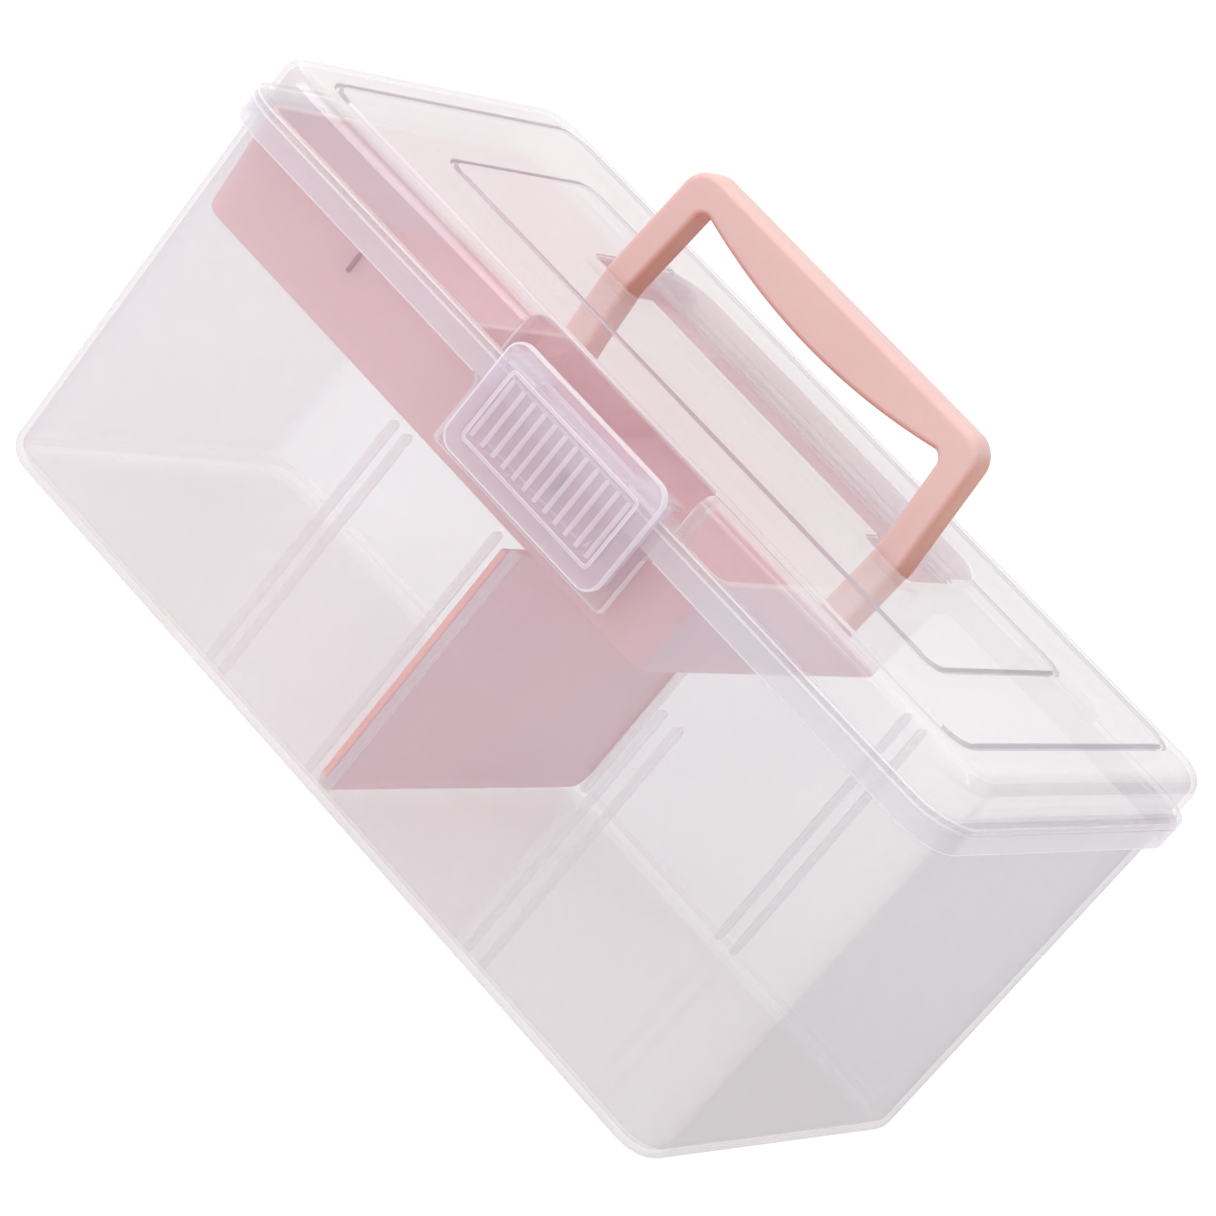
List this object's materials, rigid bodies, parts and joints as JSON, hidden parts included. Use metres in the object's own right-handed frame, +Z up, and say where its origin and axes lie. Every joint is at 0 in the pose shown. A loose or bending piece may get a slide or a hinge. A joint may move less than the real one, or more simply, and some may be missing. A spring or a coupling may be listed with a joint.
{
  "type": "art supply box",
  "caption": "Clear plastic carry box with a hinged lid, front latch, folding handle, sliding inner tray and an upright divider in guide ribs.",
  "frame": {"origin": "middle of the tub's flat underside", "axes": "+Z up, +X along the length, the latch at -Y, the hinge at +Y"},
  "size_m": [0.32, 0.1846, 0.1991],
  "materials": {
    "clear_plastic": "clear, glossy outside, slightly hazy",
    "latch_plastic": "clear lilac, glossy",
    "handle_plastic": "milky pink, satin",
    "tray_plastic": "translucent pink, satin"
  },
  "bodies": {
    "tub": {"tub": "clear_plastic", "tall_divider": "tray_plastic"},
    "lid": {"lid": "clear_plastic"},
    "latch": {"latch": "latch_plastic"},
    "handle": {"handle": "handle_plastic"},
    "tray": {"tray": "tray_plastic", "tray_partition": "tray_plastic"}
  },
  "joints": [
    {"name": "lid_hinge", "type": "hinge", "parent": "tub", "child": "lid", "pos_m": [0, 0.0902, 0.1376], "axis": [-1, 0, 0], "range_deg": [0, 110]},
    {"name": "latch_pivot", "type": "hinge", "parent": "lid", "child": "latch", "pos_m": [0, -0.0852, 0.1424], "axis": [-1, 0, 0], "range_deg": [0, 90]},
    {"name": "handle_fold", "type": "hinge", "parent": "lid", "child": "handle", "pos_m": [0, 0.00275, 0.1509], "axis": [-1, 0, 0], "range_deg": [0, 90]},
    {"name": "tray_slide", "type": "slide", "parent": "tub", "child": "tray", "axis": [1, 0, 0], "range_m": [0, 0.0955]}
  ]
}
